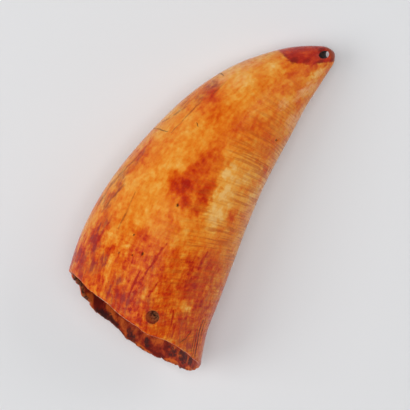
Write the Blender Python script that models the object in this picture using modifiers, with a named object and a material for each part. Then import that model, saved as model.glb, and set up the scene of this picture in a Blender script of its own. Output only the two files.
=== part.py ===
"""A polished sperm whale tooth with a broken hollow root, drilled near both ends for a cord.

The tooth is shaped straight along +X, bent along its own curve, then laid on its side. It
points along +X, its convex edge faces +Y, and the middle of its box is over the origin.
Lengths are metres and angles degrees. An angle round the tooth starts at its convex edge
and goes over the top.
"""

import bisect
import math

import bmesh
import bpy
import numpy as np
from mathutils import Vector

# The straight tooth: distance from the root along the axis, half the width there
HALF_WIDTHS = (
    (0.000, 0.0319),
    (0.020, 0.0336),
    (0.040, 0.0329),
    (0.060, 0.0305),
    (0.080, 0.0271),
    (0.100, 0.0234),
    (0.115, 0.0195),
    (0.128, 0.0147),
    (0.138, 0.0108),
    (0.147, 0.0061),
)
TIP_RINGS = ((0.1505, 0.0043), (0.1522, 0.0018))
TIP = 0.1528
ROOT_FLATNESS = 0.67  # thickness as a share of width
TIP_FLATNESS = 0.86

# The pulp cavity inside the root: distance from the root, thickness of the wall there
CAVITY_WALLS = (
    (0.000, 0.0018),
    (0.008, 0.0029),
    (0.020, 0.0055),
    (0.035, 0.0105),
    (0.050, 0.0175),
)
CAVITY_END = 0.060

# The cage that is smoothed: points in a ring, rings outside and inside, the ring behind the rim
SIDES = 24
ANGLES = [360 * side / SIDES for side in range(SIDES)]
OUTER_RINGS = 22
CAVITY_RINGS = 7
RIM_RING = 0.002

# The broken edge of the root: angle round the tooth, how far along the axis the edge lies
ROOT_EDGE = (
    (0, 0.0140),
    (30, 0.0110),
    (60, 0.0050),
    (90, -0.0025),
    (120, -0.0065),
    (150, -0.0105),
    (180, -0.0140),
    (210, -0.0170),
    (240, -0.0145),
    (270, -0.0075),
    (300, 0.0010),
    (330, 0.0105),
)
ROOT_EDGE_FADE = 0.0600  # the edge's unevenness dies out this far along

# The curve of the axis, seen from above: place, and heading from +X towards +Y
AXIS = (
    ((0.0000, -0.0023), 26.6),
    ((0.0750, 0.0145), 2.1),
    ((0.1474, -0.0013), -30.4),
)

# Lying on its side, it tips until its weight is over the point that it rests on
TIP_DOWN = 6.3
CONCAVE_EDGE_DOWN = 6.6
WORN_DEPTH = 0.0002  # a small flat is worn where it rests

# Cord holes: width, place from the middle of the root, heights above the floor that the drill
# passes between, and how far it leans towards the tip and the concave edge on its way down
ROOT_HOLE = {"width": 0.0058, "place": (0.0077, -0.0068), "heights": (0.030, 0.060), "lean": (0, 0)}
TIP_HOLE = {"width": 0.0035, "place": (0.1431, 0.0017), "heights": (-0.005, 0.040), "lean": (9.7, 7.5)}
HOLE_SIDES = 32

IVORY = (0.75, 0.27, 0.05, 1.0)
IVORY_ROUGHNESS = 0.3


def clear_scene():
    for item in list(bpy.data.objects):
        bpy.data.objects.remove(item)


def new_collection(name):
    collection = bpy.data.collections.new(name)
    bpy.context.scene.collection.children.link(collection)
    return collection


def new_object(name, bm, collection):
    mesh = bpy.data.meshes.new(name)
    bm.to_mesh(mesh)
    bm.free()
    item = bpy.data.objects.new(name, mesh)
    collection.objects.link(item)
    return item


def ivory():
    material = bpy.data.materials.new("polished_ivory")
    material.use_nodes = True
    shader = material.node_tree.nodes["Principled BSDF"]
    shader.inputs["Base Color"].default_value = IVORY
    shader.inputs["Metallic"].default_value = 0.0
    shader.inputs["Roughness"].default_value = IVORY_ROUGHNESS
    return material


def smooth_between(distance, stations):
    """The value at a distance, on a smooth curve through the stations."""
    places, values = zip(*stations)
    slopes = np.gradient(values, places)
    after = min(max(bisect.bisect_right(places, distance), 1), len(places) - 1)
    before = after - 1
    span = places[after] - places[before]
    share = min(max((distance - places[before]) / span, 0), 1)
    eased = share * share * (3 - 2 * share)
    leaving = share * (1 - share) ** 2 * span * slopes[before]
    arriving = share * share * (1 - share) * span * slopes[after]
    return float(values[before] * (1 - eased) + values[after] * eased + leaving - arriving)


def flatness(distance):
    return float(np.interp(distance, (0, TIP), (ROOT_FLATNESS, TIP_FLATNESS)))


def edge_slide(distance, angle):
    """How far the uneven root edge moves a point of the ring at this distance along the axis."""
    angles, slides = zip(*ROOT_EDGE)
    at_edge = float(np.interp(angle, angles, slides, period=360))
    share = min(distance / ROOT_EDGE_FADE, 1.0)
    return at_edge * (1 - share * share * (3 - 2 * share))


def cage_point(along, width, thickness, angle):
    """A point of a ring of the cage. Smoothing draws rings in, so they start this much wider."""
    wider = 3 / (2 + math.cos(math.tau / SIDES))
    turn = math.radians(angle)
    return (along, width * wider * math.cos(turn), thickness * wider * math.sin(turn))


def ring(distance, wall=0.0):
    """Points of one ring of the cage, inside the outer surface by the wall's thickness."""
    points = []
    for angle in ANGLES:
        along = distance + edge_slide(distance, angle)
        outer = smooth_between(along, HALF_WIDTHS)
        points.append(cage_point(along, outer - wall, outer * flatness(along) - wall, angle))
    return points


def tip_ring(distance, half_width):
    """Points of a ring that rounds off the tip."""
    thickness = half_width * flatness(distance)
    return [cage_point(distance, half_width, thickness, angle) for angle in ANGLES]


def tooth_cage():
    """A loft from the end of the cavity out to the broken edge, and back outside to the tip."""
    deepest, _ = CAVITY_WALLS[-1]
    inside = [0, RIM_RING] + [deepest * number / CAVITY_RINGS for number in range(1, CAVITY_RINGS + 1)]
    foremost, _ = HALF_WIDTHS[-1]
    outside = [0, RIM_RING] + [foremost * number / OUTER_RINGS for number in range(1, OUTER_RINGS + 1)]
    rings = [ring(distance, smooth_between(distance, CAVITY_WALLS)) for distance in reversed(inside)]
    rings += [ring(distance) for distance in outside]
    rings += [tip_ring(distance, half_width) for distance, half_width in TIP_RINGS]
    bm = bmesh.new()
    loops = [[bm.verts.new(point) for point in points] for points in rings]
    for loop, following in zip(loops, loops[1:]):
        for side in range(SIDES):
            before = side - 1
            bm.faces.new((loop[before], loop[side], following[side], following[before]))
    cavity_end = bm.verts.new((CAVITY_END, 0, 0))
    tip = bm.verts.new((TIP, 0, 0))
    for side in range(SIDES):
        bm.faces.new((cavity_end, loops[0][side], loops[0][side - 1]))
        bm.faces.new((tip, loops[-1][side - 1], loops[-1][side]))
    return bm


def axis_curve(tooth, guides):
    """The line that the straight tooth is bent along, which moves with the tooth."""
    data = bpy.data.curves.new("tooth_axis", "CURVE")
    data.dimensions = "2D"
    data.resolution_u = 64
    spline = data.splines.new("BEZIER")
    spline.bezier_points.add(len(AXIS) - 1)
    places = [Vector((*place, 0)) for place, _ in AXIS]
    spans = [(after - before).length for before, after in zip(places, places[1:])]
    reaches = [spans[0]] + spans + [spans[-1]]
    for number, (point, (_, heading)) in enumerate(zip(spline.bezier_points, AXIS)):
        turn = math.radians(heading)
        forward = Vector((math.cos(turn), math.sin(turn), 0))
        point.co = places[number]
        point.handle_left_type = "FREE"
        point.handle_right_type = "FREE"
        point.handle_left = places[number] - forward * reaches[number] / 3
        point.handle_right = places[number] + forward * reaches[number + 1] / 3
    curve = bpy.data.objects.new("tooth_axis", data)
    guides.objects.link(curve)
    curve.hide_render = True
    curve.parent = tooth
    return curve


def box_corners(item):
    """The lowest and highest corners of an object's box, as it is now."""
    bpy.context.view_layer.update()
    evaluated = item.evaluated_get(bpy.context.evaluated_depsgraph_get())
    points = [evaluated.matrix_world @ vert.co for vert in evaluated.data.vertices]
    low = Vector([min(point[side] for point in points) for side in range(3)])
    high = Vector([max(point[side] for point in points) for side in range(3)])
    return low, high


def cut(item, cutter):
    cutter.hide_render = True
    cutter.display_type = "WIRE"
    boolean = item.modifiers.new(cutter.name, "BOOLEAN")
    boolean.operation = "DIFFERENCE"
    boolean.solver = "EXACT"
    boolean.object = cutter


def hole_cutter(name, hole, root_middle, guides):
    bottom, top = hole["heights"]
    bm = bmesh.new()
    bmesh.ops.create_cone(
        bm,
        cap_ends=True,
        segments=HOLE_SIDES,
        radius1=hole["width"] / 2,
        radius2=hole["width"] / 2,
        depth=top - bottom,
    )
    cutter = new_object(name, bm, guides)
    to_tip, to_concave_edge = hole["lean"]
    cutter.rotation_euler = (-math.radians(to_concave_edge), -math.radians(to_tip), 0)
    place = root_middle.xy + Vector(hole["place"])
    cutter.location = (place.x, place.y, (bottom + top) / 2)
    return cutter


def floor_cutter(tooth, guides):
    """A slab under the floor, which cuts off what reaches below it."""
    low, high = box_corners(tooth)
    size = (high - low) * 1.2
    bm = bmesh.new()
    bmesh.ops.create_cube(bm, size=1)
    bmesh.ops.scale(bm, vec=size, verts=bm.verts)
    cutter = new_object("floor_cutter", bm, guides)
    cutter.location = (0, 0, -size.z / 2)
    return cutter


def make_tooth(parts, guides):
    tooth = new_object("whale_tooth", tooth_cage(), parts)
    tooth.data.materials.append(ivory())
    tooth.data.shade_smooth()
    smooth = tooth.modifiers.new("rounded", "SUBSURF")
    smooth.levels = 1
    smooth.render_levels = 1
    bend = tooth.modifiers.new("bent", "CURVE")
    bend.object = axis_curve(tooth, guides)
    bend.deform_axis = "POS_X"
    return tooth


def lay_down(tooth):
    """Turn the tooth to its resting pose, with the flat to be worn just under the floor."""
    tooth.rotation_euler = (math.radians(CONCAVE_EDGE_DOWN), math.radians(TIP_DOWN), 0)
    low, high = box_corners(tooth)
    middle = (low + high) / 2
    tooth.location -= Vector((middle.x, middle.y, low.z + WORN_DEPTH))


def main():
    clear_scene()
    parts = new_collection("whale_tooth")
    guides = new_collection("cutters")
    tooth = make_tooth(parts, guides)
    lay_down(tooth)
    cut(tooth, floor_cutter(tooth, guides))
    cut(tooth, hole_cutter("root_hole_cutter", ROOT_HOLE, tooth.location, guides))
    cut(tooth, hole_cutter("tip_hole_cutter", TIP_HOLE, tooth.location, guides))


main()
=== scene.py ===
# A polished sperm whale tooth lying on a pale table, seen from above.
# Metres, +Z up. +X points from the broken root to the tip, +Y to the convex edge.
import math
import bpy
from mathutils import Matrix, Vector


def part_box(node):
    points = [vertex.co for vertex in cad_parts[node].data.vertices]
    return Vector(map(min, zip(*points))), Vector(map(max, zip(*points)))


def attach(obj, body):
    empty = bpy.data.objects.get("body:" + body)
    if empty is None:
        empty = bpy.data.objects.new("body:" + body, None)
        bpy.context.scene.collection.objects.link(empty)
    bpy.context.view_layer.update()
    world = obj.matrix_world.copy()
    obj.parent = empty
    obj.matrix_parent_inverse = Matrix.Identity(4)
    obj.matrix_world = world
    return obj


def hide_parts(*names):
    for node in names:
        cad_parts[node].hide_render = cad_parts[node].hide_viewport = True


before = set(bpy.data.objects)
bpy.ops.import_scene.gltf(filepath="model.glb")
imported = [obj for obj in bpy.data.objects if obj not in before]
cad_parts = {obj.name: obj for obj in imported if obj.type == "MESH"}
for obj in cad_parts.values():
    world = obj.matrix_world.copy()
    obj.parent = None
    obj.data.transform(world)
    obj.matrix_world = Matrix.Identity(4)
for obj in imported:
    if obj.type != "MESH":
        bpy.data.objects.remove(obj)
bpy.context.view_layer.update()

from types import SimpleNamespace

import bpy
import numpy as np
from mathutils import Vector, noise
from mathutils.kdtree import KDTree

mm = 0.001


# small helpers

def deselectAll():
    for item in bpy.context.selected_objects:
        item.select_set(False)


def activate(item):
    deselectAll()
    item.select_set(True)
    bpy.context.view_layer.objects.active = item


def added(operator, **settings):
    deselectAll()
    operator(**settings)
    return bpy.context.object


def setMode(mode):
    bpy.ops.object.mode_set(mode=mode)


def applyModifier(item, name):
    activate(item)
    bpy.ops.object.modifier_apply(modifier=name)


def readPoints(mesh):
    points = np.empty(len(mesh.vertices) * 3)
    mesh.vertices.foreach_get("co", points)
    return points.reshape(-1, 3)


def writePoints(mesh, points):
    mesh.vertices.foreach_set("co", points.ravel())
    mesh.update()


def readNormals(mesh):
    normals = np.empty(len(mesh.vertices) * 3)
    mesh.vertex_normals.foreach_get("vector", normals)
    return normals.reshape(-1, 3)


def readAttribute(mesh, name):
    values = np.empty(len(mesh.vertices) * 3)
    mesh.attributes[name].data.foreach_get("vector", values)
    return values.reshape(-1, 3)


def writeAttribute(mesh, name, values):
    attribute = mesh.attributes.get(name) or mesh.attributes.new(name, "FLOAT_VECTOR", "POINT")
    attribute.data.foreach_set("vector", np.ascontiguousarray(values, dtype=float).ravel())


def easeStep(value, low, high):  # 0 below low, 1 above high, smooth between
    share = np.clip((value - low) / (high - low), 0, 1)
    return share * share * (3 - 2 * share)


def smoothBetween(distance, stations):  # a smooth curve through pairs in millimetres
    places, values = (np.array(column) * mm for column in zip(*stations))
    slopes = np.gradient(values, places)
    after = np.clip(np.searchsorted(places, distance, side="right"), 1, len(places) - 1)
    before = after - 1
    span = places[after] - places[before]
    share = np.clip((distance - places[before]) / span, 0, 1)
    eased = easeStep(share, 0, 1)
    leaving = share * (1 - share) ** 2 * span * slopes[before]
    arriving = share * share * (1 - share) * span * slopes[after]
    return values[before] * (1 - eased) + values[after] * eased + leaving - arriving


def aroundTooth(angle, stations):  # between pairs of degrees round the tooth and millimetres
    angles, values = zip(*stations)
    return np.interp(angle, angles, np.array(values) * mm, period=360)


def unevenness(points, period, seed, detail):  # noise of -1 to 1 that repeats about every period
    shift = Vector((seed * 17.3, seed * 5.1, seed * 9.7))
    scale = [1 / size for size in period]
    return np.array([noise.fractal(Vector(point * scale) + shift, 1.0, 2.0, detail) for point in points])


# the tooth

shape = {
    "sides": 32,  # points in each ring of the cage
    "outerRings": 22,
    "cavityRings": 7,
    "rimRing": 2 * mm,  # the ring just behind the rim
    "halfWidths": (  # distance from the root and half the width, in millimetres
        (0, 31.9), (20, 33.6), (40, 32.9), (60, 30.5), (80, 27.1),
        (100, 23.4), (115, 19.5), (128, 14.7), (138, 10.8), (147, 6.1),
    ),
    "tipRings": ((150.5 * mm, 4.3 * mm), (152.2 * mm, 1.8 * mm)),
    "tip": 152.8 * mm,
    "flatness": (0.67, 0.86),  # thickness as a share of width, at root and tip
    "cavityWalls": (  # distance from the root and thickness of the wall, in millimetres
        (0, 1.8), (8, 2.9), (20, 5.5), (35, 10.5), (50, 17.5),
    ),
    "cavityEnd": 60 * mm,
    "skin": (0.93, 0.985),  # shares of the outer width where the inside ends
    "rootEdge": (  # degrees round the tooth, millimetres along the axis to the broken edge
        (0, 14), (30, 11), (60, 5), (90, -2.5), (120, -6.5), (150, -10.5),
        (180, -14), (210, -17), (240, -14.5), (270, -7.5), (300, 1), (330, 10.5),
    ),
    "rootEdgeFade": 60 * mm,
    "axis": (  # places on the tooth's curve and the headings there, in degrees
        ((0 * mm, -2.3 * mm), 26.6), ((75 * mm, 14.5 * mm), 2.1), ((147.4 * mm, -1.3 * mm), -30.4),
    ),
    "smoothing": 3,  # times that the cage is rounded off
    "lying": (6.6, 6.3, 0),  # how the tooth is turned as it lies, in degrees
    "wornDepth": 0.2 * mm,
    "smoothAngle": 42,  # sharper edges than this stay sharp
}


def flatness(distance):
    return np.interp(distance, (0, shape["tip"]), shape["flatness"])


def edgeSlide(distance, angle):  # how far the uneven root edge moves a point of a ring
    fading = easeStep(distance, 0, shape["rootEdgeFade"])
    return aroundTooth(angle, shape["rootEdge"]) * (1 - fading)


def ringPlaces(farthest, count):  # rings at the edge, just behind it, and evenly spaced
    return [0, shape["rimRing"]] + [farthest * mm * number / count for number in range(1, count + 1)]


def ringList():  # distance and thickness of the wall, from deep inside out to the tip
    walls = shape["cavityWalls"]
    inside = ringPlaces(walls[-1][0], shape["cavityRings"])
    outside = ringPlaces(shape["halfWidths"][-1][0], shape["outerRings"])
    rings = [(distance, float(smoothBetween(distance, walls))) for distance in reversed(inside)]
    return rings + [(distance, 0.0) for distance in outside]


def ringSize(distance, wall):  # half the width and the thickness of a ring
    outer = smoothBetween(distance, shape["halfWidths"])
    return outer - wall, outer * flatness(distance) - wall


def extrudeRing(distance, width, thickness, last):
    lastDistance, lastWidth, lastThickness = last
    bpy.ops.mesh.extrude_region_move(TRANSFORM_OT_translate={"value": (distance - lastDistance, 0, 0)})
    grow = (1, width / lastWidth, thickness / lastThickness)
    bpy.ops.transform.resize(value=grow, center_override=(distance, 0, 0))
    return distance, width, thickness


def closeRing(distance, lastDistance):
    bpy.ops.mesh.extrude_region_move(TRANSFORM_OT_translate={"value": (distance - lastDistance, 0, 0)})
    bpy.ops.mesh.merge(type="CENTER")


def orderFaces(mesh):  # extruding leaves faces and corners in another order each run
    points = readPoints(mesh)
    faces = []
    for face in mesh.polygons:
        corners = list(face.vertices)
        start = corners.index(min(corners))
        faces.append(corners[start:] + corners[:start])
    mesh.clear_geometry()
    mesh.from_pydata(points.tolist(), [], sorted(faces))


def makeCage():
    sides = shape["sides"]
    rings = ringList()
    sizes = [(distance, *map(float, ringSize(distance, wall))) for distance, wall in rings]
    for distance, width in shape["tipRings"]:
        sizes.append((distance, width, width * float(flatness(distance))))
    first = sizes[0]
    upright = (0, math.pi / 2, 0)
    circle = {"vertices": sides, "radius": first[1], "location": (first[0], 0, 0), "rotation": upright}
    piece = added(bpy.ops.mesh.primitive_circle_add, **circle)
    piece.name = "whaleTooth"
    piece.data.name = "whaleTooth"
    bpy.ops.object.transform_apply()
    setMode("EDIT")
    bpy.ops.transform.resize(value=(1, 1, first[2] / first[1]), center_override=(first[0], 0, 0))
    last = first
    for size in sizes[1:]:
        last = extrudeRing(*size, last)
    closeRing(shape["tip"], last[0])
    setMode("OBJECT")
    for vertex in piece.data.vertices:
        vertex.select = vertex.index < sides
    setMode("EDIT")
    closeRing(shape["cavityEnd"], first[0])
    bpy.ops.mesh.select_all(action="SELECT")
    bpy.ops.mesh.normals_make_consistent(inside=False)
    setMode("OBJECT")
    orderFaces(piece.data)
    slideRoot(piece, rings, sizes)
    return piece


def slideRoot(piece, rings, sizes):  # rings of the cage follow the uneven edge
    sides = shape["sides"]
    wider = 3 / (2 + math.cos(math.tau / sides))  # smoothing draws the rings in again
    points = readPoints(piece.data)
    for number, (distance, width, thickness) in enumerate(sizes):
        ring = points[number * sides:(number + 1) * sides]
        turn = np.arctan2(ring[:, 2] / thickness, ring[:, 1] / width)
        if number < len(rings):
            along = distance + edgeSlide(distance, np.degrees(turn) % 360)
            width, thickness = ringSize(along, rings[number][1])
            ring[:, 0] = along
        ring[:, 1] = width * wider * np.cos(turn)
        ring[:, 2] = thickness * wider * np.sin(turn)
    writePoints(piece.data, points)


def roundOff(piece):
    smooth = piece.modifiers.new("rounded", "SUBSURF")
    smooth.levels = shape["smoothing"]
    smooth.render_levels = shape["smoothing"]
    applyModifier(piece, "rounded")


def keepPlaces(piece):  # where each point is on the straight tooth, and behind its broken edge
    points = readPoints(piece.data)
    along, across, up = points.T
    foremost = shape["halfWidths"][-1][0] * mm
    outer = smoothBetween(np.minimum(along, foremost), shape["halfWidths"])
    flat = flatness(along)
    turn = np.degrees(np.arctan2(up / flat, across)) % 360
    reach = np.hypot(across, up / flat) / outer
    inside = (1 - easeStep(reach, *shape["skin"])) * (along < shape["cavityEnd"] + 1 * mm)
    behind = along.copy()
    for _ in range(6):  # comes near the distance that the slide turned into this one
        behind = along - edgeSlide(np.maximum(behind, 0), turn)
    writeAttribute(piece.data, "toothPlace", points / mm)
    writeAttribute(piece.data, "rimPlace", np.stack([behind / mm, inside, turn / 360], 1))


def bendAlongAxis(piece):
    axis = shape["axis"]
    guide = added(bpy.ops.curve.primitive_bezier_curve_add, location=(0, 0, 0))
    guide.data.dimensions = "2D"
    guide.data.resolution_u = 256
    spline = guide.data.splines[0]
    spline.bezier_points.add(len(axis) - len(spline.bezier_points))
    places = [Vector((*place, 0)) for place, _ in axis]
    spans = [(after - before).length for before, after in zip(places, places[1:])]
    reaches = [spans[0]] + spans + [spans[-1]]
    for number, (point, (_, heading)) in enumerate(zip(spline.bezier_points, axis)):
        forward = Vector((math.cos(math.radians(heading)), math.sin(math.radians(heading)), 0))
        point.handle_left_type = "FREE"
        point.handle_right_type = "FREE"
        point.co = places[number]
        point.handle_left = places[number] - forward * reaches[number] / 3
        point.handle_right = places[number] + forward * reaches[number + 1] / 3
    bend = piece.modifiers.new("bent", "CURVE")
    bend.object = guide
    bend.deform_axis = "POS_X"
    applyModifier(piece, "bent")
    bpy.data.objects.remove(guide)


def layDown(piece):  # turned, fitted to the frame's tooth and worn flat where it rests
    piece.rotation_euler = [math.radians(turn) for turn in shape["lying"]]
    activate(piece)
    bpy.ops.object.transform_apply()
    low, high = (np.array(corner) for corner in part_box("whale_tooth"))
    low[2] -= shape["wornDepth"]
    points = readPoints(piece.data)
    pieceLow, pieceHigh = points.min(0), points.max(0)
    points = (points - (pieceLow + pieceHigh) / 2) * (high - low) / (pieceHigh - pieceLow) + (low + high) / 2
    points[:, 2] = np.maximum(points[:, 2], 0)
    writePoints(piece.data, points)


relief = {
    "edge": (  # degrees round the tooth, millimetres that the edge is moved towards the tip
        (0, -0.8), (15, -0.55), (30, -0.5), (40, -0.8), (47, -0.5), (53, -0.3), (61, -0.1),
        (70, -0.6), (80, -0.65), (88, -0.35), (92, -0.95), (97, -1.2), (103, -0.7), (115, 0),
        (125, -0.25), (135, -0.45), (150, -1), (165, -0.7), (180, -0.3), (187, -0.9), (196, -1.05),
        (204, -0.7), (214, -0.3), (218, 0.8), (223, 0.4), (228, 0.05), (232, -0.15), (236, 0.7),
        (241, 0.1), (245, -0.2), (250, -0.7), (259, -0.6), (268, -1), (272, -0.1), (277, 0.6),
        (281, 0.6), (286, 1.1), (290, 0.5), (296, -0.05), (308, -0.1), (313, -0.8), (317, -1.5),
        (322, 0.1), (327, -0.4), (331, -0.4), (335, -0.95), (340, 0), (349, 0.1), (355, -0.7),
    ),
    "bites": (  # degrees round the tooth, millimetres that the edge is bitten there
        (0, 0.35), (35, 0.25), (50, 0.05), (120, 0.05), (160, 0.2), (190, 0.5), (330, 0.6),
    ),
    "biteWaves": ((0.13, 0.13, 1), 3, 4),  # size as a share of the radius, seed and detail
    "biteWaveHeight": 1.6,
    "biteSteps": 47,  # in a turn
    "biteShare": 0.6,  # of the waves, and of the steps
    "edgeFade": 9,  # behind the edge, in millimetres
    "edgeFine": 1.8,  # the faces this near the edge are cut finer
    "crumbs": 1.3 * mm,
    "crumble": 0.16 * mm,
    "crumbled": (0.8, 2.6),  # behind the edge, where the crumbling fades out
    "swells": ((38, 13, 13), 1, 2),  # size, seed and detail
    "swellDepth": 0.3 * mm,
    "ridges": ((30, 2.4, 2.4), 2, 2),
    "ridgeDepth": 0.07 * mm,
    "ridgesFade": (20, 110),  # along the tooth, where the ridges grow fainter
    "ridgesShare": 1.2,  # of their depth at the root; one less at the tip
    "skinFade": (0, 3),  # behind the edge, where swells and ridges begin
    "cavity": ((8, 4.5, 4.5), 4, 3),
    "cavityDepth": 0.35 * mm,
    "cavityFade": (0.5, 6),
    "pitsFine": (2, 0.6),  # how far round a pit the faces are cut finer: sizes and margin
    "pitStretch": 0.7,
    "pitFloor": 0.35,  # share of a pit that is level
    "pits": (  # along and across the tooth, half the length and the depth, in millimetres
        (52.2, 3.6, 0.75, 0.5), (33.2, 14.6, 0.5, 0.35), (24.6, 17.5, 0.45, 0.3),
        (27.5, 8.2, 0.7, 0.3), (103.7, -16.2, 0.7, 0.45), (25.5, 12, 0.4, 0.25),
    ),
}


def refine(piece, near, cuts):  # finer faces where the first corner of a face is near
    mesh = piece.data
    starts = np.empty(len(mesh.polygons), dtype=np.int32)
    corners = np.empty(len(mesh.loops), dtype=np.int32)
    mesh.polygons.foreach_get("loop_start", starts)
    mesh.loops.foreach_get("vertex_index", corners)
    activate(piece)
    bpy.context.tool_settings.mesh_select_mode = (False, False, True)
    setMode("EDIT")
    bpy.ops.mesh.select_all(action="DESELECT")
    setMode("OBJECT")
    mesh.polygons.foreach_set("select", near[corners[starts]])
    setMode("EDIT")
    bpy.ops.mesh.subdivide(number_cuts=cuts)
    setMode("OBJECT")


def refineDetails(piece):
    behind = readAttribute(piece.data, "rimPlace")[:, 0]
    refine(piece, behind < relief["edgeFine"], 1)
    sizes, margin = relief["pitsFine"]
    for along, across, size, _ in relief["pits"]:
        place = readAttribute(piece.data, "toothPlace")
        inside = readAttribute(piece.data, "rimPlace")[:, 1]
        distance = np.hypot(place[:, 0] - along, place[:, 1] - across)
        refine(piece, (distance < size * sizes + margin) & (place[:, 2] > 0) & (inside < 0.5), 2)


def breakRim(piece):  # the edge is moved and bitten, and its thin wall crumbled
    behind, _, turn = readAttribute(piece.data, "rimPlace").T
    near = behind < relief["edgeFade"]
    points = readPoints(piece.data)
    degrees = turn[near] * 360
    circle = np.stack([np.cos(np.radians(degrees)), np.sin(np.radians(degrees)), np.zeros(near.sum())], 1)
    waves = np.abs(unevenness(circle, *relief["biteWaves"])) * relief["biteWaveHeight"]
    steps = np.array([noise.cell(Vector((share * relief["biteSteps"], 2.5, 0.5))) for share in turn[near]])
    share = relief["biteShare"]
    bite = aroundTooth(degrees, relief["bites"]) * (share * waves + share * steps)
    moved = aroundTooth(degrees, relief["edge"])
    points[near, 0] += moved * (1 - easeStep(behind[near], 0, relief["edgeFade"]))
    points[near, 0] += bite * (1 - easeStep(behind[near], 0, relief["edgeFade"] / 3))
    thin = behind < relief["crumbled"][1]
    noise.seed_set(1)  # or else the clock shifts the noise
    shake = np.array([noise.noise_vector(Vector(point) / relief["crumbs"]) for point in points[thin]])
    shake[:, 0] = np.abs(shake[:, 0])
    points[thin] += shake * relief["crumble"] * (1 - easeStep(behind[thin], *relief["crumbled"]))[:, None]
    writePoints(piece.data, points)


def carveSurface(piece):  # swells, ridges and pits outside, rough ridges in the cavity
    mesh = piece.data
    place = readAttribute(mesh, "toothPlace")
    behind, inside, _ = readAttribute(mesh, "rimPlace").T
    points, normals = readPoints(mesh), readNormals(mesh)
    swells, ridges, cavity = (unevenness(place, *relief[name]) for name in ("swells", "ridges", "cavity"))
    ridgesShare = relief["ridgesShare"] - easeStep(place[:, 0], *relief["ridgesFade"])
    depth = relief["swellDepth"] * (0.5 + 0.5 * swells)
    depth += relief["ridgeDepth"] * (0.5 + 0.5 * ridges) * ridgesShare
    cavity = cavity * relief["cavityDepth"] * easeStep(behind, *relief["cavityFade"])
    depth = depth * (1 - inside) * easeStep(behind, *relief["skinFade"]) + cavity * inside
    for along, across, size, deep in relief["pits"]:
        distance = np.hypot((place[:, 0] - along) * relief["pitStretch"], place[:, 1] - across)
        dent = (1 - easeStep(distance, size * relief["pitFloor"], size)) * (place[:, 2] > 0) * (inside < 0.5)
        depth += deep * mm * dent
    writePoints(mesh, points - normals * depth[:, None])


holes = {
    "root": {
        "width": 5.8 * mm,
        "place": (-61.44 * mm, -10.36 * mm),
        "heights": (30 * mm, 60 * mm),
        "lean": (0, 0),  # degrees towards the tip and the concave side
        "groove": (0, 0, (1, 0)),
    },
    "tip": {
        "width": 3.5 * mm,
        "place": (73.71 * mm, -1.11 * mm),
        "heights": (-5 * mm, 40 * mm),
        "lean": (13.9, 13.0),
        "groove": (1.1 * mm, 1.6, (-0.6, 0.8)),  # how much further and deeper it's worn, and where
    },
    "sides": 64,
    "fine": 1.6 * mm,  # the faces this far round a hole are cut finer
    "fineEnough": 147.5,  # the faces beyond are small already, in millimetres
    "lip": 0.9 * mm,  # how far round a hole its lip is worn
    "lipDepth": 0.35 * mm,
}


def fromHole(points, hole):  # distance from the hole's middle line, and the way out from it
    bottom, top = hole["heights"]
    toTip, toConcave = (math.tan(math.radians(lean)) for lean in hole["lean"])
    drop = (bottom + top) / 2 - points[:, 2]
    away = points[:, :2] - np.array(hole["place"]) - np.stack([drop * toTip, -drop * toConcave], 1)
    return np.hypot(*away.T), away


def drill(piece, hole, wall):
    bottom, top = hole["heights"]
    toTip, toConcave = hole["lean"]
    distance, _ = fromHole(readPoints(piece.data), hole)
    along = readAttribute(piece.data, "toothPlace")[:, 0]
    inside = readAttribute(piece.data, "rimPlace")[:, 1]
    near = distance < hole["width"] / 2 + holes["fine"]
    refine(piece, near & (inside < 0.5) & (along < holes["fineEnough"]), 2)
    drillBit = added(
        bpy.ops.mesh.primitive_cylinder_add,
        vertices=holes["sides"],
        radius=hole["width"] / 2,
        depth=top - bottom,
        location=(*hole["place"], (bottom + top) / 2),
        rotation=(-math.radians(toConcave), -math.radians(toTip), 0),
    )
    for surface in (piece.data.materials[0], wall):
        drillBit.data.materials.append(surface)
    drillBit.data.polygons.foreach_set("material_index", [1] * len(drillBit.data.polygons))
    mesh = piece.data
    before = readPoints(mesh)
    kept = {name: readAttribute(mesh, name) for name in ("toothPlace", "rimPlace")}
    cut = piece.modifiers.new("drilled", "BOOLEAN")
    cut.operation = "DIFFERENCE"
    cut.solver = "MANIFOLD"
    cut.object = drillBit
    applyModifier(piece, "drilled")
    bpy.data.objects.remove(drillBit)
    givePlaces(piece, before, kept)


def givePlaces(piece, before, kept):  # new points take the places of the nearest old ones
    tree = KDTree(len(before))
    for number, point in enumerate(before):
        tree.insert(point, number)
    tree.balance()
    nearest = [tree.find(point)[1] for point in readPoints(piece.data)]
    for name, values in kept.items():
        writeAttribute(piece.data, name, values[nearest])


def wearLip(piece, hole):  # the lip of a hole is worn down by the cord
    mesh = piece.data
    points, normals = readPoints(mesh), readNormals(mesh)
    further, deeper, way = hole["groove"]
    distance, away = fromHole(points, hole)
    inside = readAttribute(mesh, "rimPlace")[:, 1]
    towards = np.clip(away @ np.array(way) / np.maximum(distance, 1e-6), 0, 1) ** 3
    beyond = (distance - hole["width"] / 2) / (holes["lip"] + further * towards)
    outside = (inside < 0.5) * (distance > hole["width"] / 2 - 0.1 * mm)
    worn = np.clip(1 - beyond, 0, 1) ** 2 * outside
    down = np.array((0, 0, 1)) * np.sign(normals[:, 2:])
    depth = holes["lipDepth"] * (1 + deeper * towards)
    writePoints(mesh, points - down * (worn * depth)[:, None])


# shader helpers

drawing = {"tree": None}  # where new nodes go


def colourOf(red, green, blue):  # from 0 to 255 as a picture shows it, made linear
    shares = [value / 255 for value in (red, green, blue)]
    return (*[share / 12.92 if share <= 0.04045 else ((share + 0.055) / 1.055) ** 2.4 for share in shares], 1)


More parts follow.
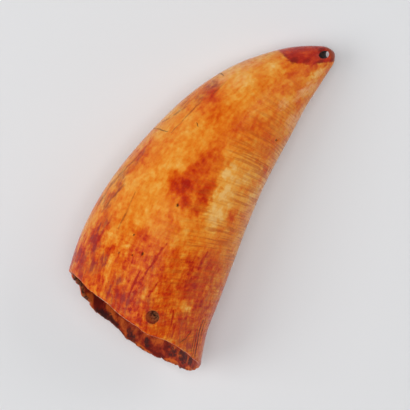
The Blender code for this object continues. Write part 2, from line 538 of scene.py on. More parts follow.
def setInputs(made, inputs):  # sockets are linked and plain values are set
    for name, value in inputs.items():
        if isinstance(value, bpy.types.NodeSocket):
            drawing["tree"].links.new(value, made.inputs[name])
        else:
            made.inputs[name].default_value = value
    return made


def addNode(kind, inputs, **settings):
    made = drawing["tree"].nodes.new(kind)
    for name, value in settings.items():
        setattr(made, name, value)
    return setInputs(made, inputs)


def maths(operation, *values):
    return addNode("ShaderNodeMath", dict(enumerate(values)), operation=operation).outputs[0]


def vectorMaths(operation, *values, output=0):
    made = addNode("ShaderNodeVectorMath", dict(enumerate(values)), operation=operation)
    return made.outputs[output]


def dotOf(first, second):
    return vectorMaths("DOT_PRODUCT", first, second, output="Value")


def scaled(vector, share):
    return addNode("ShaderNodeVectorMath", {0: vector, "Scale": share}, operation="SCALE").outputs[0]


def partsOf(vector):
    return addNode("ShaderNodeSeparateXYZ", {0: vector}).outputs


def vectorOf(*parts):
    return addNode("ShaderNodeCombineXYZ", dict(enumerate(parts))).outputs[0]


def step(value, low, high, first=0.0, last=1.0):  # 0 below low, 1 above high
    inputs = {"Value": value, "From Min": low, "From Max": high, "To Min": first, "To Max": last}
    made = addNode("ShaderNodeMapRange", inputs, interpolation_type="SMOOTHSTEP")
    made.clamp = False  # smooth steps end level as they are
    return made.outputs[0]


def fade(value, low, high):  # 1 below low, 0 above high
    return step(value, low, high, 1.0, 0.0)


def times(*values):
    product = values[0]
    for value in values[1:]:
        product = maths("MULTIPLY", product, value)
    return product


def plus(base, value, share):  # so much of a value is added to the base
    return maths("MULTIPLY_ADD", value, share, base)


def mixed(share, low, high):  # a number between low and high
    return plus(low, share, high - low)


def centred(value):  # noise of 0 to 1 about nought
    return maths("SUBTRACT", value, 0.5)


def blend(factor, first, second):
    return addNode("ShaderNodeMix", {0: factor, 6: first, 7: second}, data_type="RGBA").outputs[2]


def rampOf(value, stops):  # a colour from a row of places and colours
    made = addNode("ShaderNodeValToRGB", {0: value})
    elements = made.color_ramp.elements
    elements[0].position, elements[-1].position = stops[0][0], stops[-1][0]
    for place, _ in stops[1:-1]:
        elements.new(place)
    for element, (_, colour) in zip(elements, stops):
        element.color = colourOf(*colour)
    return made.outputs[0]


def noiseOf(place, period, detail, roughness, distortion, seed, output="Fac"):
    scale = [1 / size for size in period]
    inputs = {
        "Vector": vectorMaths("MULTIPLY_ADD", place, scale, (seed * 7.1, seed * 3.3, seed * 5.7)),
        "Scale": 1.0,
        "Detail": detail,
        "Roughness": roughness,
        "Distortion": distortion,
    }
    return addNode("ShaderNodeTexNoise", inputs).outputs[output]


def newGroup(name, vectors, numbers, result, kind="Float"):
    tree = bpy.data.node_groups.new(name, "ShaderNodeTree")
    for kindIn, names in (("Vector", vectors), ("Float", numbers)):
        for given in names:
            tree.interface.new_socket(given, in_out="INPUT", socket_type="NodeSocket" + kindIn)
    tree.interface.new_socket(result, in_out="OUTPUT", socket_type="NodeSocket" + kind)
    drawing["tree"] = tree
    return tree, tree.nodes.new("NodeGroupInput").outputs, tree.nodes.new("NodeGroupOutput")


def placeGroup(group, inputs):
    return addNode("ShaderNodeGroup", inputs, node_tree=group).outputs[0]


def makeStainGroup():  # adds an oval stain, strongest in its middle, to what is there before
    tree, given, result = newGroup("stain", ("Position", "Middle", "Reach"), ("Strength", "Before"), "After")
    away = vectorMaths("SUBTRACT", given["Position"], given["Middle"])
    share = vectorMaths("DIVIDE", away, given["Reach"])
    near = maths("MAXIMUM", maths("SUBTRACT", 1.0, dotOf(share, share)), 0.0)
    mask = times(near, near, plus(3.0, near, -2.0))  # eased at both ends
    setInputs(result, {"After": plus(given["Before"], mask, given["Strength"])})
    return tree


def makeLineGroup():  # a thin line between two places, with tapered ends
    tree, given, result = newGroup("line", ("Position", "From", "To"), ("Width", "Before"), "After")
    away = vectorMaths("SUBTRACT", given["Position"], given["From"])
    reach = vectorMaths("SUBTRACT", given["To"], given["From"])
    share = maths("DIVIDE", dotOf(away, reach), dotOf(reach, reach))
    share = maths("MINIMUM", maths("MAXIMUM", share, 0.0), 1.0)
    distance = vectorMaths("DISTANCE", away, scaled(reach, share), output="Value")
    taper = plus(1.0, maths("ABSOLUTE", centred(share)), -1.0)
    width = times(given["Width"], taper)
    full, clear = (times(width, share) for share in (0.3, 1.4))  # the line's border is soft
    setInputs(result, {"After": maths("MAXIMUM", fade(distance, full, clear), given["Before"])})
    return tree


def makeWarpGroup():  # a place moved about, for ragged edges
    tree, given, result = newGroup("warp", ("Place",), ("Coarse", "Fine"), "Warped", "Vector")
    flat = vectorMaths("MULTIPLY", given["Place"], (1, 1, 0))
    for period, amount, seed in (((9, 6, 6), "Coarse", 1), ((2.2, 1.5, 1.5), "Fine", 2)):
        shake = noiseOf(given["Place"], period, 2, 0.55, 0, seed, "Color")
        shake = vectorMaths("SUBTRACT", shake, (0.5, 0.5, 0.5))
        flat = vectorMaths("ADD", flat, scaled(shake, given[amount]))
    setInputs(result, {"Warped": vectorMaths("MULTIPLY", flat, (1, 1, 0))})
    return tree


stainGroup = makeStainGroup()
lineGroup = makeLineGroup()
warpGroup = makeWarpGroup()


def addStains(position, stains, before=0.0):
    for along, across, length, width, strength in stains:
        oval = {"Position": position, "Middle": (along, across, 0), "Reach": (length, width, 1)}
        before = placeGroup(stainGroup, {**oval, "Strength": strength, "Before": before})
    return before


def addLines(position, lines, before=0.0):
    for start, end, width in lines:
        line = {"Position": position, "From": (*start, 0), "To": (*end, 0)}
        before = placeGroup(lineGroup, {**line, "Width": width, "Before": before})
    return before


# the ivory's look; places are millimetres along the straight tooth and across it

look = {
    "stainColours": (  # from unstained to deeply stained
        (0.0, (234, 182, 104)), (0.16, (230, 160, 66)), (0.32, (226, 138, 42)), (0.5, (219, 112, 22)),
        (0.68, (206, 82, 10)), (0.84, (190, 52, 6)), (1.0, (164, 28, 6)),
    ),
    "stainDepth": (0.38, 0.64),  # near the tip and near the root
    "mottles": (  # size of the patches, seed, how much they change the stain below and above
        ((24, 15, 15), 3, 0.5, 0.12), ((8, 5.5, 5.5), 4, 0.84, 0.68),
        ((2.6, 1.9, 1.9), 5, 0.6, 0.68), ((1, 0.8, 0.8), 6, 0.28, 0.2),
    ),
    # size of the pattern along, across and up, detail, roughness, distortion and seed;
    # then, for a mask, where it begins and is full, and the amounts that this becomes
    "patterns": {
        "streaks": ((5, 1.3, 1.3), 3, 0.6, 0, 7),
        "bands": ((1.6, 4, 4), 2, 0.6, 0.3, 8),
        "woven": ((16, 9, 9), 2, 0.5, 0, 9, (0.35, 0.6), (0.6, 1)),
        "specks": ((0.8, 0.8, 0.8), 1, 0.5, 0, 23, (0.62, 0.72)),
        "streakBreaks": ((2.2, 2.2, 2.2), 2, 0.5, 0, 12, (0.3, 0.6), (0.18, 0.4)),
        # breaks the painted sheen into short streaks
        "sheenStreaks": ((5, 0.7, 0.7), 3, 0.6, 0, 24, (0.3, 0.6)),
        "brownStreaks": ((5, 1.4, 1.4), 3, 0.6, 0, 10, (0.38, 0.58), (0.3, 1)),
        "brownBlots": ((3.5, 1.7, 1.7), 3, 0.6, 0, 11, (0.38, 0.58), (0.35, 1)),
        "hairlineBreaks": ((2.2, 2.2, 2.2), 2, 0.5, 0, 12, (0.3, 0.6), (0.25, 0.6)),
        "growthLines": ((1, 14, 14), 2, 0.5, 0.2, 13, (0.44, 0.6)),
        "growthPatches": ((12, 8, 8), 2, 0.5, 0, 14, (0.36, 0.6), (0.4, 1)),
        "tipWobble": ((2.6, 1.8, 1.8), 3, 0.6, 0, 15),
        "tipCloud": ((5, 2.5, 2.5), 3, 0.6, 0, 16),
        "cavity": ((3.2, 2.4, 2.4), 4, 0.6, 0, 17),
        "cavityCrumbs": ((1.5, 1.4, 1.4), 4, 0.65, 0, 18, (0.42, 0.56), (-0.35, 0.35)),
        "dust": ((1, 1, 1), 2, 0.6, 0, 25, (0.42, 0.56)),
        "rimCrumbs": ((1, 1, 1), 3, 0.6, 0, 19, (0.42, 0.6)),
        "polish": ((4, 2, 2), 3, 0.6, 0, 20),
        "grain": ((9, 0.8, 0.8), 2, 0.5, 0, 21),
        # grime and painted shade on the walls of the cord holes
        "grimeAndShade": ((1.6 * mm, 1.6 * mm, 2.5 * mm), 4, 0.6, 0, 22, (0.4, 0.62)),
    },
    # what an area is measured by, where it begins and where it is full
    "areas": {
        "rootward": (("along", 52, 18),),
        "upper": (("up", -5, 2),),
        "concave": (("across", 10, -14),),
        "dark": (("stained", -0.4, 0),),
        "beforeTip": (("along", 128, 102),),
        "tipEnd": (("along", 148.4, 150.2),),
        "wallEnd": (("behind", 1.5, 0.7), ("inside", 0.05, 0.4)),
        "wallEndConvex": (("across", 17, 21),),
        "wallEndBelow": (("turn", 0.5, 0.56), ("across", 17, 14)),
        "edgeHighlight": (("behind", 0.3, 0.05), ("inside", 0.4, 0.1), ("turn", 0.12, 0.15), ("turn", 0.27, 0.24)),
    },
    "ragged": (6, 3),  # how far places are moved about, coarsely and finely
    "crooked": (1.2, 0.7),
    "ringLean": 0.34,  # of the growth rings towards the tip, on the concave side
    "bands": 0.8,  # their amount beside the streaks
    "wovenMiddle": 0.9,  # half of the streaks and bands together
    "woven": (0.18, 1.15),  # amount near the tip and near the root
    "specks": 0.2,
    # along, across, half the length, half the width, how much deeper the stain is
    "stains": (
        # the deep red patch in the middle
        (64, 2.5, 17, 11, 0.18), (60.5, 8.5, 6.5, 5.5, 0.34), (57, 8, 5, 4.5, 0.08), (61.5, 4, 4, 4, 0.2),
        (68, 4.6, 8, 5, 0.18), (74.1, 4.5, 6, 5, 0.08), (75, 1, 9, 6.5, 0.14), (81.9, 3.2, 7, 5, 0.2),
        (79.5, -2.2, 5, 4, 0.18), (63.8, -4.2, 8, 4.8, 0.32), (56.4, -5.4, 6, 3.2, 0.3),
        (55.5, 2, 4, 4, 0.26), (52.5, -3.8, 4, 3, 0.18),
        # towards the tip
        (91, 3, 7, 20, 0.14), (97, 2, 6, 6, 0.2), (101, -8, 7, 7, 0.2), (94, 15.5, 6, 3, 0.18),
        (98.5, 18.5, 6, 4, 0.26), (98, 12, 9, 8, 0.16), (100, -15.5, 8, 5, 0.18), (95.5, -4.5, 4, 3, 0.14),
        (131.5, -6.9, 4, 2, 0.12), (118.5, 1, 4, 3, 0.16), (88.7, -21.5, 3, 2, 0.3), (84, -23, 3, 1.2, 0.2),
        (124, -9.7, 3, 2, 0.16), (121.9, -2.4, 4, 3, 0.24), (131, 1.5, 6, 3.5, 0.3),
        (137.8, -1.2, 6, 2.6, 0.3), (129.3, 5.5, 3.5, 2.5, 0.22), (143.3, -2.3, 4, 1.8, 0.32),
        # towards the root
        (68.3, -9.1, 1.8, 1.5, 0.3), (62, -19.6, 5, 2.6, 0.24), (65.5, 26.2, 8, 3, 0.24),
        (60.5, 27.5, 8, 3, 0.22), (45.9, 4.3, 2.5, 2, 0.22), (32, -13.5, 5, 4.5, 0.18),
        (31, -7, 6, 5.5, 0.14), (34.5, -23.3, 9, 4.5, 0.2), (26.5, -21, 5, 3.5, 0.12),
        (14.6, -10, 3.5, 2.5, 0.12), (33.5, -18.5, 6, 5, 0.18), (22, -15.5, 7, 6, 0.2),
        (27.5, 8, 3, 3, 0.22), (34, 11, 4, 4, 0.1), (26, 0, 4, 4, 0.14), (25.7, 28, 5, 3, 0.2),
        (19, 32.8, 4, 3, 0.28), (17, 5, 4, 4, 0.12), (15, -23, 4, 3, 0.15), (10, -9.6, 3, 2.5, 0.15),
        (7, 11, 4, 5, 0.18), (40, -17.6, 3.5, 3, 0.16), (32.6, 7.8, 3.5, 3.5, 0.14),
        (22.4, 15.6, 3.5, 3, 0.14), (2.2, -25.2, 6, 3, 0.14), (45, 29.8, 6, 2, 0.15),
        (54.1, 20.1, 3, 2.5, 0.12), (95.2, -19.3, 4, 2.5, 0.14), (108.5, 11, 4.5, 4.5, 0.12),
        (36.4, -9.3, 2.5, 2.5, 0.13), (15.3, 33.1, 1.6, 1.6, 0.14), (128.6, -4.3, 4.5, 4, 0.13),
        (3, 0, 5, 9, 0.14), (3, -19, 6, 5, 0.16), (0, 8, 4, 11, 0.1),
        # less stained places
        (72, -9.6, 11, 6, -0.2), (63, -12.2, 11, 6.8, -0.22), (55.5, -14.2, 8, 6.5, -0.2),
        (77, -8.6, 5, 3.5, -0.12), (87, -6, 4, 4, -0.12), (82, -15.5, 10, 9, -0.15),
        (80, -24.5, 8, 4, -0.14), (107, 12, 8, 5, -0.12), (111.5, 13, 6, 5, -0.14), (125, 11, 7, 5, -0.17),
        (111, 18.8, 5, 4, -0.2), (78, 26.3, 6, 3.5, -0.14), (69.2, 18, 4, 4, -0.12),
        (30.3, 24.6, 3.5, 3, -0.15), (30.4, 15.4, 3.5, 3, -0.16), (11.5, -15.8, 5, 4, -0.12),
        (139.5, -4, 7, 2.5, -0.14), (70, 14, 8, 5, -0.1), (54, 22, 8, 4, -0.08), (47, 12, 6, 4, -0.1),
        (41, 14, 5, 5, -0.14), (27.2, 18.1, 3, 2.5, -0.22), (31, 22.5, 6, 4, -0.18),
        (39.9, -4.3, 5, 4, -0.12), (38.5, 14, 5, 4, -0.1), (84.5, 24.5, 5, 3.5, -0.13),
        (89.6, -6.2, 3, 3, -0.1), (9, -18, 4, 3, -0.1), (136, -4, 4, 1.6, -0.12), (38.2, 32, 6, 2, -0.12),
        (52, 31, 8, 2.5, -0.1), (30.5, 32.6, 7, 2.4, -0.25), (22, 20.5, 4, 3, -0.16),
        (19, 20.5, 4, 2, -0.15), (8, 22, 5, 2, -0.18), (12, -17, 3.5, 3.5, -0.24), (70, -20, 14, 7, -0.09),
        (27, -30, 12, 3, -0.11), (122.8, 14.8, 4, 2.5, -0.08), (93.7, 14.2, 4, 3.5, -0.12),
        (71.3, 6, 3.5, 3.5, -0.16), (111.1, -17.2, 3, 2, -0.16), (94.5, 3, 3, 3, -0.13),
        (27.2, -2, 2.5, 2.5, -0.15), (127.8, 3, 3.5, 2.5, -0.14), (102.5, 10.5, 4, 3, -0.14),
        (16.1, 27.3, 3.5, 3, -0.13), (15.3, 13.9, 3, 3, -0.14), (51, 26, 5, 3, -0.12),
        (19.2, -30.3, 8, 2.5, -0.14), (58.1, -3.5, 3.5, 3.5, -0.13), (-6.8, -21.7, 3, 3, -0.15),
        (14, -3, 4, 2.5, -0.22), (12, 1.5, 4, 1.5, -0.18), (-4, -13, 2.5, 4, -0.25),
    ),
    # the colour of the painted sheen
    "sheenColour": (238, 190, 132),
    "paintedSheen": (  # painted sheen: paler patches where the polish catches the light
        (112, 21, 14, 4.5, 0.5), (122, 17, 9, 4.5, 0.5), (110.5, 14, 6, 3.5, 0.2), (88, 29.5, 14, 4, 0.5),
        (70, 30.5, 14, 3.5, 0.25), (76, -26.5, 16, 5, 0.45), (92, -26, 12, 4, 0.5), (104, -22, 14, 4, 0.55),
        (120, -15.5, 12, 3.5, 0.6), (133, -8, 9, 3, 0.5), (140.5, -4.6, 6, 1.8, 0.5),
        (60, -29, 16, 3.5, 0.25), (116.2, -6.5, 5, 2.6, 0.4), (126.5, -7.6, 6, 2.4, 0.25),
    ),
    "brown": (142, 46, 44),
    "rootBrown": 0.15,  # how much browner the root is
    "mostBrown": 0.85,
    "browned": (
        (28.5, 28.8, 4, 3, 0.8), (33, 27.3, 5, 2, 0.6), (23.5, 28, 5, 3, 0.9), (19.6, 23, 5, 2.5, 0.9),
        (18.5, 31, 5, 2.5, 0.6), (17, 26, 4, 3, 0.8), (13.5, 29, 5, 3, 0.6), (15.5, 14.5, 4, 3, 0.7),
        (10.5, 15.5, 5, 3, 0.7), (9.5, 9.5, 5, 4, 0.7), (5, 8, 5, 4, 0.5), (24.5, 3, 4, 1.5, 0.5),
        (3.5, -19, 6, 5, 0.5), (-5, -21, 3, 5, 0.6), (102, 19.5, 4, 2.5, 0.7), (97, 20.5, 8, 2.2, 0.6),
        (90, 24, 6, 1.5, 0.5), (62.5, 27, 7, 2, 0.8), (52, 28.8, 7, 2, 0.8), (42, 29.4, 8, 2, 0.7),
        (36, -19, 6, 4, 0.4), (30, -26, 20, 3.5, 0.25), (11, 4, 6, 3, 0.5), (9, -1, 5, 3, 0.45),
        (7, 15, 5, 6, 0.5), (4, -9, 4, 6, 0.3), (-3, -17, 3, 6, 0.4), (24, -18, 5, 4, 0.3),
        (14, -25, 8, 3, 0.4),
    ),
    "line": (178, 78, 18),
    "lines": 0.68,  # how much of this colour, then how much is left outside three areas
    "linesLeft": (("concave", 0.15), ("dark", 0.25), ("beforeTip", 0.45)),
    "hairline": (120, 44, 20),
    "crack": (58, 22, 12),
    "cracked": 0.85,
    "pitMarks": (1.3, 0.9),  # length and width of a pit's dark mark, in sizes of the pit
    # two ends and half the width
    "hairlines": (
        ((94.4, 19.5), (81.7, 21), 0.3), ((81.7, 21), (76.5, 21.7), 0.25),
        ((89.2, 22.7), (81.9, 24.9), 0.35), ((81.9, 24.9), (79.3, 26.8), 0.35),
        ((48.9, 21.8), (43.3, 21.3), 0.3), ((43.3, 21.3), (33.1, 21.5), 0.4),
        ((38, 32.2), (46, 31.6), 0.35), ((46, 31.6), (53.1, 30.1), 0.35),
        ((53.1, 30.1), (64.2, 27.2), 0.3), ((36.5, 30.2), (42.4, 28.9), 0.35),
        ((42.4, 28.9), (49.7, 27.3), 0.35), ((98.6, 17.8), (106.1, 17.5), 0.25),
    ),
    "streaks": (
        ((35.5, 0.3), (21.4, 3.7), 0.6),
        ((21.4, 3.7), (6.8, 6.7), 0.9),
        ((18.5, -2.1), (11.3, -0.3), 0.6),
        ((20.9, 6.5), (9.1, 8), 0.6),
        ((9.3, 4.8), (4, 6), 0.7),
        ((8.5, -12.6), (1, -13.2), 0.6),
        ((40.3, -17.5), (30.6, -17), 0.7),
        ((34, 26), (22, 27.5), 0.6),
    ),
    "cracks": (
        ((75.3, 27.9), (76.5, 23.1), 0.25), ((85.6, 15.8), (84.3, 14.1), 0.2),
        ((107.7, 21.5), (107.7, 19.6), 0.22), ((7.6, -27.3), (-9.7, -26.9), 0.3),
        ((4, -26.1), (-10, -25.7), 0.22), ((9, -28.4), (-6, -28.2), 0.2),
        ((-1, -24.9), (-8, -24.6), 0.18), ((0.9, -22.7), (-3, -21), 0.16),
        ((-3, -21), (-5, -18.4), 0.16),
    ),
    "tipColours": (
        (0.3, (156, 20, 4)), (0.5, (178, 36, 6)), (0.7, (202, 68, 14)),
    ),
    "tipBounds": (  # the red cap lies where along and across, so weighted, pass these sums
        ((1, 0), 131.6), ((0.72, 1), 100.2), ((0.25, 1), 34.2),
    ),
    "tipRagged": 3.5,  # how far the cap's border wanders
    "tipBorder": (-0.6, 0.7),  # the width of the border
    "tipEnd": (150, 54, 16),  # beyond the hole
    "tipDark": (112, 12, 4),
    "tipDarkest": 0.9,
    "tipDarkened": (
        (133.5, 5.6, 3, 2, 0.7), (138, 2.6, 3, 1.2, 0.4), (143.6, -0.5, 2.5, 1.2, 0.7),
        (147, 4, 2.4, 1.2, 0.8), (149.6, -2.4, 1.6, 1, 0.6), (131.8, 9, 1.6, 3, 0.4),
    ),
    # a painted highlight: a thin pale line along the rim's upper edge
    "rimHighlight": (240, 204, 156),
    "edgeHighlight": 0.6,
    "wallEnd": ((60, 28, 16), (158, 82, 44)),
    "wallDark": (0.8, 0),  # below the tooth's middle, between the crumbs and in them
    "cavityColours": (
        (0.34, (104, 26, 18)), (0.5, (146, 44, 22)), (0.7, (194, 88, 32)),
    ),
    "cavityBlack": (56, 30, 30),
    "blackened": 0.85,
    "blackBorder": (0.25, 0.9),
    "dust": ((50, 26, 16), (150, 90, 56)),  # seen through the hole near the root
    "dustShift": (1.5, -1.5),  # from the hole's middle
    "dustBorder": (1.5, 6.5),
    "grimeAndShade": ((74, 42, 30), (24, 14, 12)),  # on the walls of the cord holes: grime, and painted shade from their depth
    "rough": (0.20, 0.36),
    "roughInside": 0.15,
    "roughCracks": 0.3,
    "grainHeight": 0.1,
    "lineHeight": -0.01,
    "crackHeight": -0.4,
    "bump": 0.12 * mm,
    # behind the edge, hundredths of a turn round the tooth, half the sizes, how much
    "cavityStains": (
        (3.4, 83.5, 4, 3, -0.25), (5, 66, 5, 6, -0.06), (1.6, 67, 1.4, 5, -0.16), (1.2, 58.3, 1.5, 2, -0.2),
        (7.5, 68.5, 4, 4, 0.16), (4.5, 79.9, 3, 2, 0.25), (3.9, 76.3, 2.5, 1.5, 0.15),
        (0.4, 70, 1.6, 4, 0.35), (0.8, 62, 1.8, 4, 0.3), (0.2, 86.3, 5, 2, 0.3), (0.5, 56, 1.6, 2, 0.35),
    ),
    "cavityBlackened": (
        (1.6, 80.6, 2.5, 2.4, 1), (1.2, 78.3, 2, 1.6, 0.8), (0.6, 82.5, 1.4, 2.6, 0.9),
        (3.1, 73.9, 2.8, 1.5, 0.9), (4.2, 69.6, 2.2, 0.9, 1), (0.8, 73.3, 1.2, 1, 0.6),
        (5.4, 62.3, 3, 2.2, 0.6), (5.2, 58.3, 3.4, 2.4, 0.9), (3.5, 54.9, 2.5, 1.6, 0.9),
    ),
}


def patternOf(at, name, where="place"):  # one of the look's noises, or the mask made from it
    row = look["patterns"][name]
    noiseLook, borders, amounts = row[:5], row[5:6], row[6:]
    value = noiseOf(getattr(at, where), *noiseLook)
    for border in borders:
        value = step(value, *border)
    for amount in amounts:
        value = mixed(value, *amount)
    return value


def areaOf(at, name):  # 1 in one of the look's areas, 0 outside it
    masks = []
    for where, start, full in look["areas"][name]:
        place = getattr(at, where)
        masks.append(step(place, start, full) if start < full else fade(place, full, start))
    return times(*masks)


def tint(share, colour, name):  # so much of one of the look's colours over another
    return blend(share, colour, colourOf(*look[name]))


def attributeOf(name):
    return addNode("ShaderNodeAttribute", {}, attribute_name=name).outputs["Vector"]


def warped(place, coarse, fine):
    return placeGroup(warpGroup, {"Place": place, "Coarse": coarse, "Fine": fine})


def ivoryPlaces():  # where a point lies, in all the ways that colours need
    at = SimpleNamespace(place=attributeOf("toothPlace"))
    at.along, at.across, at.up = partsOf(at.place)
    at.behind, at.inside, at.turn = partsOf(attributeOf("rimPlace"))
    ring = plus(at.along, maths("MINIMUM", at.across, 0.0), look["ringLean"])
    at.rings = vectorOf(ring, at.across, at.up)
    at.ragged = warped(at.place, *look["ragged"])
    at.crooked = warped(at.place, *look["crooked"])
    at.rootward = areaOf(at, "rootward")
    at.upper = areaOf(at, "upper")
    at.stained = times(addStains(at.ragged, look["stains"]), at.upper)
    return at


def stainedColour(at):  # amber, deeper in mottled patches and where this tooth is stained, under a paler painted sheen
    depth = mixed(at.rootward, *look["stainDepth"])
    for period, seed, below, above in look["mottles"]:
        patches = noiseOf(at.place, period, 3, 0.5, 0, seed)
        depth = plus(depth, centred(patches), mixed(at.upper, below, above))
    streaks = maths("SUBTRACT", patternOf(at, "streaks"), look["wovenMiddle"])
    woven = plus(streaks, patternOf(at, "bands", "rings"), look["bands"])
    amount = times(mixed(at.rootward, *look["woven"]), patternOf(at, "woven"))
    depth = plus(depth, woven, amount)
    specks = times(patternOf(at, "specks"), at.rootward)
    depth = maths("ADD", plus(depth, specks, look["specks"]), at.stained)
    streaks = times(addLines(at.crooked, look["streaks"]), patternOf(at, "streakBreaks"))
    colour = rampOf(plus(depth, streaks, at.upper), look["stainColours"])
    # painted sheen: pale patches broken into short streaks, where the polish would catch the light
    paintedSheen = times(addStains(at.ragged, look["paintedSheen"]), patternOf(at, "sheenStreaks"))
    return tint(paintedSheen, colour, "sheenColour")


def brownedColour(at, colour):  # purplish brown in streaks along the tooth
    browned = times(addStains(at.ragged, look["browned"]), at.upper)
    browned = plus(browned, at.rootward, look["rootBrown"])
    browned = times(browned, patternOf(at, "brownStreaks"), patternOf(at, "brownBlots"))
    colour = tint(maths("MINIMUM", browned, look["mostBrown"]), colour, "brown")
    hairlines = times(addLines(at.crooked, look["hairlines"]), at.upper)
    return tint(times(hairlines, patternOf(at, "hairlineBreaks")), colour, "hairline")


def growthLines(at):  # fine dark lines across the tooth, mostly on its concave side
    lines = times(patternOf(at, "growthLines", "rings"), patternOf(at, "growthPatches"))
    left = [mixed(areaOf(at, name), share, 1.0) for name, share in look["linesLeft"]]
    return times(lines, *left)


def tipColour(at, colour):  # the red cap on the tip's convex side
    depth = 10.0  # more than anywhere in the cap
    for slope, start in look["tipBounds"]:
        beyond = maths("SUBTRACT", dotOf(at.place, (*slope, 0)), start)
        depth = maths("MINIMUM", depth, beyond)
    depth = plus(depth, centred(patternOf(at, "tipWobble")), look["tipRagged"])
    red = rampOf(patternOf(at, "tipCloud"), look["tipColours"])
    red = tint(areaOf(at, "tipEnd"), red, "tipEnd")
    darkened = maths("MINIMUM", addStains(at.crooked, look["tipDarkened"]), look["tipDarkest"])
    red = tint(times(darkened, at.upper), red, "tipDark")
    return blend(step(depth, *look["tipBorder"]), colour, red)


def crackMask(at):  # the cracks, and the pits' dark floors
    longer, wider = look["pitMarks"]
    pits = [(along, across, size * longer, size * wider, 1) for along, across, size, _ in relief["pits"]]
    marks = maths("MINIMUM", addStains(at.crooked, pits), 1.0)
    return times(addLines(at.crooked, look["cracks"], marks), at.upper)


def cavityColour(at):  # dark red to orange, with blackened patches near the broken edge
    position = vectorOf(at.behind, times(at.turn, 100.0))
    depth = addStains(position, look["cavityStains"], patternOf(at, "cavity"))
    colour = rampOf(depth, look["cavityColours"])
    black = addStains(position, look["cavityBlackened"])
    black = maths("ADD", patternOf(at, "cavityCrumbs"), black)
    black = times(step(black, *look["blackBorder"]), look["blackened"])
    colour = tint(black, colour, "cavityBlack")
    onTable = addNode("ShaderNodeTexCoord", {}).outputs["Object"]
    onTable = vectorMaths("MULTIPLY", onTable, (1 / mm, 1 / mm, 0))
    middle = [place / mm + shift for place, shift in zip(holes["root"]["place"], look["dustShift"])]
    distance = vectorMaths("DISTANCE", onTable, (*middle, 0), output="Value")
    dust = blend(patternOf(at, "dust"), *(colourOf(*shade) for shade in look["dust"]))
    return blend(fade(distance, *look["dustBorder"]), colour, dust)


def rimColour(at, colour):  # the broken end of the wall, and a painted highlight along its upper edge
    crumbs = patternOf(at, "rimCrumbs")
    dark, light = (colourOf(*shade) for shade in look["wallEnd"])
    worn = areaOf(at, "wallEnd")
    convex = times(worn, areaOf(at, "wallEndConvex"))
    colour = blend(convex, colour, blend(crumbs, dark, light))
    below = times(worn, areaOf(at, "wallEndBelow"), mixed(crumbs, *look["wallDark"]))
    colour = blend(below, colour, dark)
    # painted highlight along the rim's upper edge
    return tint(times(areaOf(at, "edgeHighlight"), look["edgeHighlight"]), colour, "rimHighlight")


def newSurface(name):
    surface = bpy.data.materials.new(name)
    surface.use_nodes = True
    drawing["tree"] = surface.node_tree
    return surface, surface.node_tree.nodes["Principled BSDF"]


def makeIvory():
    surface, shader = newSurface("polishedIvory")
    at = ivoryPlaces()
    lines = growthLines(at)
    cracks = crackMask(at)
    colour = brownedColour(at, stainedColour(at))
    colour = tint(times(lines, look["lines"]), colour, "line")
    colour = tipColour(at, colour)
    colour = tint(times(cracks, look["cracked"]), colour, "crack")
    colour = blend(at.inside, colour, cavityColour(at))
    colour = rimColour(at, colour)
    rough = mixed(patternOf(at, "polish"), *look["rough"])
    rough = plus(rough, at.inside, look["roughInside"])
    rough = plus(rough, cracks, look["roughCracks"])
    height = times(patternOf(at, "grain"), look["grainHeight"])
    height = plus(height, lines, look["lineHeight"])
    height = plus(height, cracks, look["crackHeight"])
    bump = addNode("ShaderNodeBump", {"Height": height, "Distance": look["bump"], "Strength": 1.0})
    inputs = {"Base Color": colour, "Roughness": rough, "Normal": bump.outputs["Normal"]}
    setInputs(shader, {**inputs, "IOR": 1.5, "Specular IOR Level": 0.25})
    return surface


def makeDrilledIvory():  # the wall of a cord hole, grimy and darkened with painted shade
    surface, shader = newSurface("drilledIvory")
    at = SimpleNamespace(place=addNode("ShaderNodeTexCoord", {}).outputs["Object"])
    grimeAndShade = patternOf(at, "grimeAndShade")
    bump = addNode("ShaderNodeBump", {"Height": grimeAndShade, "Distance": 0.1 * mm})
    # dark grime mixed with painted shade inside the hole
    colour = blend(grimeAndShade, *(colourOf(*shade) for shade in look["grimeAndShade"]))
    inputs = {"Base Color": colour, "Roughness": 0.6, "Normal": bump.outputs["Normal"]}
    setInputs(shader, {**inputs, "Specular IOR Level": 0.15})
    return surface


print("tooth: cage")
tooth = makeCage()
roundOff(tooth)
keepPlaces(tooth)
print("tooth: broken edge, pits and ridges")
refineDetails(tooth)
breakRim(tooth)
carveSurface(tooth)
print("tooth: bent and laid down")
bendAlongAxis(tooth)
layDown(tooth)
ivory = makeIvory()
drilledIvory = makeDrilledIvory()
tooth.data.materials.append(ivory)
tooth.data.materials.append(drilledIvory)
print("tooth: cord holes")
for end in ("root", "tip"):
    drill(tooth, holes[end], drilledIvory)
for end in ("root", "tip"):
    wearLip(tooth, holes[end])
activate(tooth)
bpy.ops.object.shade_smooth_by_angle(angle=math.radians(shape["smoothAngle"]))
print("tooth:", len(tooth.data.polygons), "faces")

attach(tooth, "root")
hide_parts("whale_tooth")


# table, lights and camera

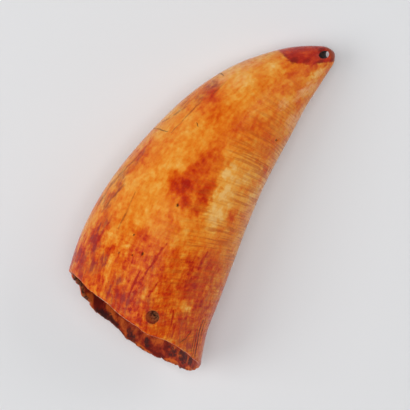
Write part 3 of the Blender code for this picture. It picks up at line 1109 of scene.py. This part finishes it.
studio = {
    "cameraPlace": (-9.9 * mm, 0.6 * mm, 1200 * mm),
    "cameraTurn": -52.9,  # degrees
    "lens": 237.8,
    "tableSize": 4,
    "tableDrop": 0.05 * mm,  # keeps the table just clear of the tooth
    "table": (0.632, 0.637, 0.65),
    "tableGlow": 0.095,  # light from below, through the table
    "surround": (0.55, 0.555, 0.565),
    "ceiling": (0.02, 0.02, 0.02),
    "ceilingEdge": (0.35, 0.7),  # height of the direction, where the ceiling begins
    "softboxes": (  # place, size, watts
        ((-0.86, 0.86, 1.32), 1.2, 16.4),  # the main light, from the picture's left
        ((1.3, -0.65, 1.05), 1.0, 5),
        ((0, 0, 1.8), 1.0, 15),
    ),
    "glint": ((0.55, -0.15, 0.75), 0.12, 0.12),  # a small lamp for the glints
}


def makeTable():
    place = (0, 0, -studio["tableDrop"])
    table = added(bpy.ops.mesh.primitive_plane_add, size=studio["tableSize"], location=place)
    table.name = "table"
    surface, shader = newSurface("paleTable")
    setInputs(shader, {"Base Color": (*studio["table"], 1), "Roughness": 0.8, "Specular IOR Level": 0.2})
    setInputs(shader, {"Emission Color": (1, 1, 1, 1), "Emission Strength": studio["tableGlow"]})
    table.data.materials.append(surface)


def makeCamera():
    turn = (0, 0, math.radians(studio["cameraTurn"]))
    camera = added(bpy.ops.object.camera_add, location=studio["cameraPlace"], rotation=turn)
    camera.data.sensor_width = 36
    camera.data.lens = studio["lens"]
    bpy.context.scene.camera = camera


def addSoftbox(place, size, watts):
    turn = Vector(place).to_track_quat("Z", "Y").to_euler()
    light = added(bpy.ops.object.light_add, type="AREA", location=place, rotation=turn)
    light.data.shape = "SQUARE"
    light.data.size = size
    light.data.energy = watts
    return light


def makeSurround():  # pale walls all round, and a darker ceiling
    world = bpy.data.worlds.new("studio")
    bpy.context.scene.world = world
    world.use_nodes = True
    drawing["tree"] = world.node_tree
    height = partsOf(addNode("ShaderNodeTexCoord", {}).outputs["Generated"])[2]
    ceiling = step(height, *studio["ceilingEdge"])
    colour = blend(ceiling, (*studio["surround"], 1), (*studio["ceiling"], 1))
    setInputs(world.node_tree.nodes["Background"], {"Color": colour})


print("table, lights and camera")
makeTable()
makeCamera()
makeSurround()
for softbox in studio["softboxes"]:  # none of them leaves glare on the polish
    addSoftbox(*softbox).visible_glossy = False
addSoftbox(*studio["glint"])
bpy.context.scene.view_settings.view_transform = "Standard"
